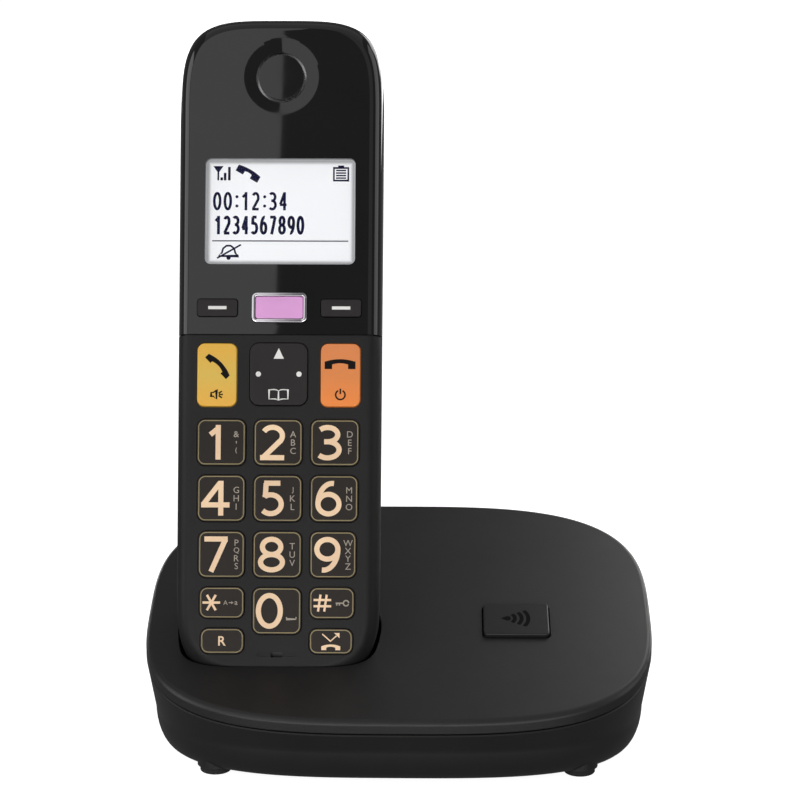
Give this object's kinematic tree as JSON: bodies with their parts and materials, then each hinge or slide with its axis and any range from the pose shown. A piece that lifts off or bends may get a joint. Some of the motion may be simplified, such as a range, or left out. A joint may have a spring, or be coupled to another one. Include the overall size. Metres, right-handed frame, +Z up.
{
  "type": "cordless phone with base",
  "caption": "Black cordless phone: a slim handset with display and keypad leaning in the cradle of a low, rounded charging base with a locator button.",
  "frame": {"origin": "on the surface that the feet stand on, at the middle of the base", "axes": "+Z up, +X to the right of a person facing the keypad, +Y to the back; the front faces -Y"},
  "size_m": [0.1198, 0.092, 0.167],
  "materials": {
    "matte_black": "fine matte texture, satin sheen",
    "gloss_black": "high gloss",
    "keycap_black": "satin, printed characters and thin gold outlines",
    "talk_yellow": "satin, printed in black",
    "off_orange": "satin, printed in black",
    "centre_lilac": "satin translucent",
    "chrome": "plated plastic",
    "rubber": "matte",
    "silicone": "translucent silicone",
    "clear_window": "polished clear plastic",
    "display_white": "backlit display with dark segments",
    "circuit_board": "green solder mask",
    "steel": "plain",
    "contact_gold": "plated",
    "cell_sleeve": "shrink sleeve",
    "socket_plastic": "plain moulded"
  },
  "bodies": {
    "base": {"base_top_cover": "matte_black", "base_bottom_cover": "matte_black", "foot_front_left": "rubber", "foot_front_right": "rubber", "foot_rear_left": "rubber", "foot_rear_right": "rubber", "base_screw_1": "steel", "base_screw_2": "steel", "base_screw_3": "steel", "base_circuit_board": "circuit_board", "base_radio_shield": "steel", "locator_switch": "socket_plastic", "line_jack": "socket_plastic", "power_jack": "socket_plastic"},
    "locator_button": {"locator_button": "matte_black"},
    "charge_contact_left": {"charge_contact_left": "contact_gold"},
    "charge_contact_right": {"charge_contact_right": "contact_gold"},
    "handset": {"keypad_casing": "matte_black", "display_casing": "gloss_black", "rear_casing": "matte_black", "earpiece_cap": "gloss_black", "earpiece_receiver": "steel", "display_window": "clear_window", "display_module": "display_white", "keypad_mat": "silicone", "handset_circuit_board": "circuit_board", "microphone": "steel", "ringer_speaker": "steel", "battery_left": "cell_sleeve", "battery_right": "cell_sleeve", "battery_spring_left": "steel", "battery_spring_right": "steel", "battery_end_plate": "steel", "handset_contact_left": "contact_gold", "handset_contact_right": "contact_gold", "handset_screw_left": "steel", "handset_screw_right": "steel"},
    "battery_door": {"battery_door": "matte_black"},
    "centre_key": {"centre_key_frame": "chrome", "centre_key_lens": "centre_lilac"},
    "navigator_gimbal": {"navigator_pad": "silicone"},
    "navigator": {"navigator_key": "keycap_black"},
    "talk_key": {"talk_key": "talk_yellow"},
    "off_key": {"off_key": "off_orange"},
    "key_0": {"key_0": "keycap_black"},
    "key_1": {"key_1": "keycap_black"},
    "key_2": {"key_2": "keycap_black"},
    "key_3": {"key_3": "keycap_black"},
    "key_4": {"key_4": "keycap_black"},
    "key_5": {"key_5": "keycap_black"},
    "key_6": {"key_6": "keycap_black"},
    "key_7": {"key_7": "keycap_black"},
    "key_8": {"key_8": "keycap_black"},
    "key_9": {"key_9": "keycap_black"},
    "key_star": {"key_star": "keycap_black"},
    "key_hash": {"key_hash": "keycap_black"},
    "key_recall": {"key_recall": "keycap_black"},
    "key_block": {"key_block": "keycap_black"},
    "soft_key_left": {"soft_key_left": "keycap_black"},
    "soft_key_right": {"soft_key_right": "keycap_black"}
  },
  "joints": [
    {"name": "handset_lift", "type": "slide", "parent": "base", "child": "handset", "axis": [0, 0.309, 0.9511], "range_m": [0, 0.045]},
    {"name": "locator_press", "type": "slide", "parent": "base", "child": "locator_button", "axis": [0, 0.2588, -0.9659], "range_m": [0, 0.001], "stiffness_N_per_m": 500},
    {"name": "charge_contact_left_spring", "type": "slide", "parent": "base", "child": "charge_contact_left", "axis": [0, -0.309, -0.9511], "range_m": [0, 0.0008], "stiffness_N_per_m": 400},
    {"name": "charge_contact_right_spring", "type": "slide", "parent": "base", "child": "charge_contact_right", "axis": [0, -0.309, -0.9511], "range_m": [0, 0.0008], "stiffness_N_per_m": 400},
    {"name": "battery_door_release", "type": "slide", "parent": "handset", "child": "battery_door", "axis": [0, 0.9511, -0.309], "range_m": [0, 0.012]},
    {"name": "centre_key_press", "type": "slide", "parent": "handset", "child": "centre_key", "axis": [0, 0.9511, -0.309], "range_m": [0, 0.0006], "stiffness_N_per_m": 300},
    {"name": "talk_key_press", "type": "slide", "parent": "handset", "child": "talk_key", "axis": [0, 0.9511, -0.309], "range_m": [0, 0.0006], "stiffness_N_per_m": 300},
    {"name": "off_key_press", "type": "slide", "parent": "handset", "child": "off_key", "axis": [0, 0.9511, -0.309], "range_m": [0, 0.0006], "stiffness_N_per_m": 300},
    {"name": "key_0_press", "type": "slide", "parent": "handset", "child": "key_0", "axis": [0, 0.9511, -0.309], "range_m": [0, 0.0006], "stiffness_N_per_m": 300},
    {"name": "key_1_press", "type": "slide", "parent": "handset", "child": "key_1", "axis": [0, 0.9511, -0.309], "range_m": [0, 0.0006], "stiffness_N_per_m": 300},
    {"name": "key_2_press", "type": "slide", "parent": "handset", "child": "key_2", "axis": [0, 0.9511, -0.309], "range_m": [0, 0.0006], "stiffness_N_per_m": 300},
    {"name": "key_3_press", "type": "slide", "parent": "handset", "child": "key_3", "axis": [0, 0.9511, -0.309], "range_m": [0, 0.0006], "stiffness_N_per_m": 300},
    {"name": "key_4_press", "type": "slide", "parent": "handset", "child": "key_4", "axis": [0, 0.9511, -0.309], "range_m": [0, 0.0006], "stiffness_N_per_m": 300},
    {"name": "key_5_press", "type": "slide", "parent": "handset", "child": "key_5", "axis": [0, 0.9511, -0.309], "range_m": [0, 0.0006], "stiffness_N_per_m": 300},
    {"name": "key_6_press", "type": "slide", "parent": "handset", "child": "key_6", "axis": [0, 0.9511, -0.309], "range_m": [0, 0.0006], "stiffness_N_per_m": 300},
    {"name": "key_7_press", "type": "slide", "parent": "handset", "child": "key_7", "axis": [0, 0.9511, -0.309], "range_m": [0, 0.0006], "stiffness_N_per_m": 300},
    {"name": "key_8_press", "type": "slide", "parent": "handset", "child": "key_8", "axis": [0, 0.9511, -0.309], "range_m": [0, 0.0006], "stiffness_N_per_m": 300},
    {"name": "key_9_press", "type": "slide", "parent": "handset", "child": "key_9", "axis": [0, 0.9511, -0.309], "range_m": [0, 0.0006], "stiffness_N_per_m": 300},
    {"name": "key_star_press", "type": "slide", "parent": "handset", "child": "key_star", "axis": [0, 0.9511, -0.309], "range_m": [0, 0.0006], "stiffness_N_per_m": 300},
    {"name": "key_hash_press", "type": "slide", "parent": "handset", "child": "key_hash", "axis": [0, 0.9511, -0.309], "range_m": [0, 0.0006], "stiffness_N_per_m": 300},
    {"name": "key_recall_press", "type": "slide", "parent": "handset", "child": "key_recall", "axis": [0, 0.9511, -0.309], "range_m": [0, 0.0006], "stiffness_N_per_m": 300},
    {"name": "key_block_press", "type": "slide", "parent": "handset", "child": "key_block", "axis": [0, 0.9511, -0.309], "range_m": [0, 0.0006], "stiffness_N_per_m": 300},
    {"name": "soft_key_left_press", "type": "slide", "parent": "handset", "child": "soft_key_left", "axis": [0, 0.9511, -0.309], "range_m": [0, 0.0006], "stiffness_N_per_m": 300},
    {"name": "soft_key_right_press", "type": "slide", "parent": "handset", "child": "soft_key_right", "axis": [0, 0.9511, -0.309], "range_m": [0, 0.0006], "stiffness_N_per_m": 300},
    {"name": "navigator_left_right", "type": "hinge", "parent": "handset", "child": "navigator_gimbal", "pos_m": [-0.0282, -0.00143, 0.0867], "axis": [0, 0.309, 0.9511], "range_deg": [-2, 2], "stiffness_Nm_per_rad": 0.02},
    {"name": "navigator_up_down", "type": "hinge", "parent": "navigator_gimbal", "child": "navigator", "pos_m": [-0.0282, -0.00143, 0.0867], "axis": [1, 0, 0], "range_deg": [-2, 2], "stiffness_Nm_per_rad": 0.02}
  ]
}
